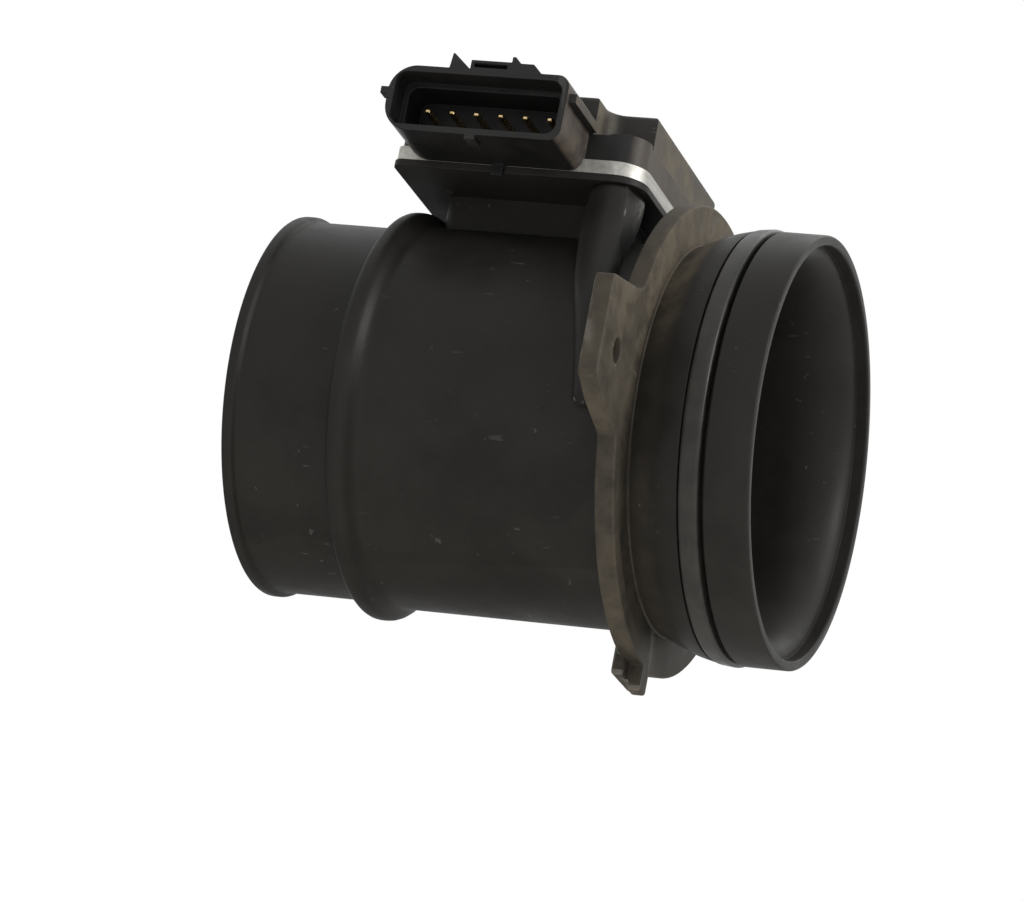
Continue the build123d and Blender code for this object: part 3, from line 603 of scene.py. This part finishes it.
# module seat: pad, neck, a straight boss at the rear screw, and a column as (x, y, z, radius) that sweeps
# from the front screw round the duct and dies out behind the ear; a block on the plane "flat", given as
# (point, normal, size), cuts its side toward the flange
seat = {"middle": (-33.8, 2.7), "pad": (48.4, 57.6), "top": 41.75, "thickness": 1.4, "wide": 5.75,
        "tight": 1.95, "neck": (35.4, 23.0), "neckRounding": 2.5, "low": 28.0, "padEdge": 0.16,
        "bossRadius": 5.3, "screws": ((-15.2, -20.5), (-52.4, 25.9)), "bossLow": 14.0, "pilot": 1.95,
        "pilotDepth": 12.0, "above": 5.0, "slot": (26.6, 13.4), "slotRounding": 2.7, "bore": 33.6,
        "boreEnds": (-78.0, 5.0), "cornerSteps": 8, "edgeSteps": 3, "boreSides": 128, "bossSides": 64,
        "pilotSides": 32, "columnSides": 32, "columnLevels": 2, "domeShares": (0.35, 0.7, 0.92),
        "column": ((-15.2, -20.5, 41.2, 5.4), (-15.2, -20.6, 38.0, 5.4), (-15.2, -21.5, 34.0, 5.3),
                   (-15.0, -23.4, 30.5, 5.05), (-14.5, -26.0, 26.5, 4.4), (-13.6, -29.4, 21.7, 4.0),
                   (-12.4, -32.6, 16.0, 3.7), (-11.2, -34.5, 11.2, 3.3), (-9.6, -36.1, 1.2, 2.6),
                   (-9.2, -36.0, -4.2, 2.4)),
        "flat": ((-10.63, -21.47, 34.05), (0.966, -0.205, 0.156), (12.0, 22.0, 6.0))}


def block(name, middle, size, low, high, roundings):
    # a plane at its low level gets rounded corners, listed as (x sign, y sign, radius), and is drawn up
    bpy.ops.mesh.primitive_plane_add(size=1, location=(middle[0] * mm, middle[1] * mm, low * mm))
    piece = bpy.context.object
    piece.scale = (size[0] * mm, size[1] * mm, 1)
    placed(name)
    bpy.ops.object.mode_set(mode="EDIT")
    for alongX, alongY, radius in roundings:
        corner = Vector((middle[0] + alongX * size[0] / 2, middle[1] + alongY * size[1] / 2, low)) * mm
        selectVertices(piece, lambda spot: (spot - corner).length < shared["near"] * mm)
        bpy.ops.mesh.bevel(offset=radius * mm, offset_type="ABSOLUTE", segments=seat["cornerSteps"],
                           affect="VERTICES")
    bpy.ops.mesh.select_all(action="SELECT")
    bpy.ops.mesh.extrude_region_move(TRANSFORM_OT_translate={"value": (0, 0, (high - low) * mm)})
    return cleaned(piece)


def allCorners(radius):
    return [(alongX, alongY, radius) for alongX in (1, -1) for alongY in (1, -1)]


def makeSlot():
    # the probe's way through the seat and the duct's wall
    return block("slot", (seat["middle"][0], 0), seat["slot"], 0, seat["top"] + seat["above"],
                 allCorners(seat["slotRounding"]))


def makeColumn():
    # rings are drawn down from station to station, and the last one is closed as a dome
    rings = [(Vector(ring[:3]), ring[3]) for ring in seat["column"]]
    middle, radius = rings[-1]
    for share in seat["domeShares"]:
        rings.append((middle - Vector((0, 0, radius * share)), radius * math.sqrt(1 - share ** 2)))
    middle, radius = rings[0]
    bpy.ops.mesh.primitive_circle_add(vertices=seat["columnSides"], radius=radius * mm, location=middle * mm)
    piece = placed("column")
    bpy.ops.object.mode_set(mode="EDIT")
    bpy.ops.mesh.select_all(action="SELECT")
    for (before, oldRadius), (after, newRadius) in zip(rings, rings[1:]):
        bpy.ops.mesh.extrude_region_move(TRANSFORM_OT_translate={"value": (after - before) * mm})
        share = newRadius / oldRadius
        bpy.ops.transform.resize(value=(share, share, 1), center_override=after * mm)
    bpy.ops.mesh.edge_face_add()
    selectVertices(piece, lambda spot: spot.z > (middle.z - shared["near"]) * mm)
    bpy.ops.mesh.edge_face_add()
    cleaned(piece)
    applyModifier(piece, "SUBSURF", levels=seat["columnLevels"], render_levels=seat["columnLevels"])
    # its side toward the flange is cut flat by a block that stands on the flat
    spot, normal, size = seat["flat"]
    outward = Vector(normal)
    middle = Vector(spot) + outward * size[2] / 2
    bpy.ops.mesh.primitive_cube_add(size=1, location=middle * mm,
                                    rotation=outward.to_track_quat("Z", "Y").to_euler())
    bpy.context.object.scale = Vector(size) * mm
    combine(piece, placed("flatCutter"), "DIFFERENCE")
    return cleaned(piece)


def makeModuleSeat():
    top, middle = seat["top"], seat["middle"]
    inPad = top - seat["thickness"] / 2
    wide, tight = seat["wide"], seat["tight"]
    padCorners = ((1, -1, wide), (-1, 1, wide), (1, 1, tight), (-1, -1, tight))
    piece = block("moduleSeat", middle, seat["pad"], top - seat["thickness"], top, padCorners)
    neck = block("neck", (middle[0], 0), seat["neck"], seat["low"], inPad, allCorners(seat["neckRounding"]))
    combine(piece, neck, "UNION")
    x, y = seat["screws"][1]
    boss = rod("boss", seat["bossRadius"], (x, y, seat["bossLow"]), (x, y, inPad), seat["bossSides"])
    combine(piece, boss, "UNION")
    combine(piece, makeSlot(), "DIFFERENCE")
    start, end = seat["boreEnds"]
    combine(piece, rod("bore", seat["bore"], (start, 0, 0), (end, 0, 0), seat["boreSides"]), "DIFFERENCE")
    combine(piece, makeColumn(), "UNION")
    low, high = top - seat["pilotDepth"], top + seat["above"]
    for x, y in seat["screws"]:
        pilot = rod("pilot", seat["pilot"], (x, y, low), (x, y, high), seat["pilotSides"])
        combine(piece, pilot, "DIFFERENCE")
    return softened(cleaned(piece), seat["padEdge"], seat["edgeSteps"])


ductShell = makeDuctShell()
combine(ductShell, makeSlot(), "DIFFERENCE")
smoothed(ductShell, shared["smoothAngle"])
ductBody = joined("ductBody", [ductShell, makeFlange(), makeModuleSeat()])
finishPiece(ductBody, "duct_plastic", "duct_body")
print("duct body:", len(ductBody.data.polygons), "faces")

# seal ring in its groove: its section as (x, radius, rounding), the crown lower toward the hose
seal = {"section": ((10.6, 37.3, 0.8), (14.4, 37.3, 0.8), (14.4, 40.4, 0.9), (10.6, 40.0, 0.8)),
        "around": 256, "cornerSteps": 8, "smoothAngle": 50}


def makeSealRing():
    path = roundedPath(seal["section"], seal["cornerSteps"])
    path.append(path[0])
    return smoothed(turned("sealRing", path, seal["around"]), seal["smoothAngle"])


finishPiece(makeSealRing(), "seal_rubber", "inlet_seal_ring")
print("seal ring made")

# moulded and pressed pieces that take the source's form with rounded edges: rounding width in mm
softEdges = {"module_housing": 0.14, "module_cover": 0.2, "heat_sink_plate": 0.12, "probe_housing": 0.2,
             "probe_cover": 0.12, "circuit_board": 0.06, "control_chip": 0.08, "voltage_regulator": 0.08,
             "board_capacitors": 0.12, "cover_sealant": 0.08, "module_screw_front": 0.1,
             "module_screw_rear": 0.1, "connector_pin_1": 0.08, "connector_pin_2": 0.08,
             "connector_pin_3": 0.08, "connector_pin_4": 0.08, "connector_pin_5": 0.08,
             "connector_pin_6": 0.08}
# steps of each rounding, the bend up to which faces are made one, and the bend from which an edge is round
soft = {"steps": 2, "flatAngle": 0.8, "bevelAngle": 40}


def makeSoftCopy(nodeName, width):
    # the node's triangles are merged into whole faces first, so that only its real edges are rounded
    words = nodeName.split("_")
    pieceName = words[0] + "".join(word.capitalize() for word in words[1:]) + "Soft"
    piece = bpy.data.objects.new(pieceName, nodes[nodeName].data.copy())
    bpy.context.scene.collection.objects.link(piece)
    pick(piece)
    bpy.ops.mesh.customdata_custom_splitnormals_clear()
    cleaned(piece)
    bpy.ops.object.mode_set(mode="EDIT")
    bpy.ops.mesh.select_all(action="SELECT")
    bpy.ops.mesh.dissolve_limited(angle_limit=math.radians(soft["flatAngle"]))
    bpy.ops.object.mode_set(mode="OBJECT")
    return softened(piece, width, soft["steps"], soft["bevelAngle"])


for nodeName, width in softEdges.items():
    finishPiece(makeSoftCopy(nodeName, width), slotOf[nodeName], nodeName)
print("soft copies:", len(softEdges))

# studio: pale floor seen from above only, which lets the low lamp through, and four soft lamps, each given
# as (place, size, power, colour); lengths in metres
studio = {"floorSize": 4, "floorGap": 0.012, "floorTones": ((0.80, 0.80, 0.79, 1), (0.83, 0.83, 0.82, 1)),
          "floorScale": 9.0, "floorRough": 0.85, "sky": (0.92, 0.95, 1.0, 1), "skyStrength": 0.32,
          "lamps": {"overheadLamp": ((0.1, 0.6, 0.75), 0.6, 1.3, (1.0, 1.0, 1.0)),
                    "frontLamp": ((0.0, -0.9, -0.5), 0.8, 3.4, (1.0, 0.98, 0.94)),
                    "sideLamp": ((0.93, -0.22, 0.4), 0.4, 6.6, (1.0, 1.0, 1.0)),
                    "lowLamp": ((0.1, -0.2, -0.9), 0.8, 5.0, (1.0, 0.93, 0.82))}}


def addFloor():
    height = cadBox[0].z - studio["floorGap"]
    bpy.ops.mesh.primitive_plane_add(size=studio["floorSize"], location=(0, 0, height))
    floor = placed("studioFloor")
    paint = bpy.data.materials.new("floorPaint")
    paint.use_nodes = True
    tree = paint.node_tree
    shader = tree.nodes["Principled BSDF"]
    tone = ranged(tree, noise(tree, objectSpot(tree), studio["floorScale"], 4.0), 0.3, 0.7)
    tree.links.new(mixColour(tree, tone, *studio["floorTones"]), shader.inputs["Base Color"])
    shader.inputs["Roughness"].default_value = studio["floorRough"]
    clear = put(tree, "ShaderNodeBsdfTransparent")
    back = put(tree, "ShaderNodeNewGeometry").outputs["Backfacing"]
    mixed = put(tree, "ShaderNodeMixShader", {0: back, 1: shader.outputs[0], 2: clear.outputs[0]})
    tree.links.new(mixed.outputs[0], tree.nodes["Material Output"].inputs["Surface"])
    floor.data.materials.append(paint)
    floor.visible_shadow = False


def addWorld():
    # white where it is seen or mirrored, and a soft blue light elsewhere
    world = bpy.data.worlds.new("studioWorld")
    world.use_nodes = True
    bpy.context.scene.world = world
    tree = world.node_tree
    light = tree.nodes["Background"]
    light.inputs["Color"].default_value = studio["sky"]
    light.inputs["Strength"].default_value = studio["skyStrength"]
    white = put(tree, "ShaderNodeBackground", {"Color": (1, 1, 1, 1), "Strength": 1.0})
    path = put(tree, "ShaderNodeLightPath")
    seen = combineValues(tree, "MAXIMUM", path.outputs["Is Camera Ray"], path.outputs["Is Glossy Ray"])
    seen = combineValues(tree, "MAXIMUM", seen, path.outputs["Is Transmission Ray"])
    mixed = put(tree, "ShaderNodeMixShader", {0: seen, 1: light.outputs[0], 2: white.outputs[0]})
    tree.links.new(mixed.outputs[0], tree.nodes["World Output"].inputs["Surface"])


def addLamps():
    for name, (spot, size, power, colour) in studio["lamps"].items():
        bpy.ops.object.light_add(type="AREA", location=spot)
        lamp = bpy.context.object
        lamp.name = name
        lamp.rotation_euler = (-Vector(spot)).to_track_quat("-Z", "Y").to_euler()
        lamp.data.size = size
        lamp.data.energy = power
        lamp.data.color = colour


addFloor()
addWorld()
addLamps()
bpy.context.scene.view_settings.view_transform = "Standard"
print("studio lit")
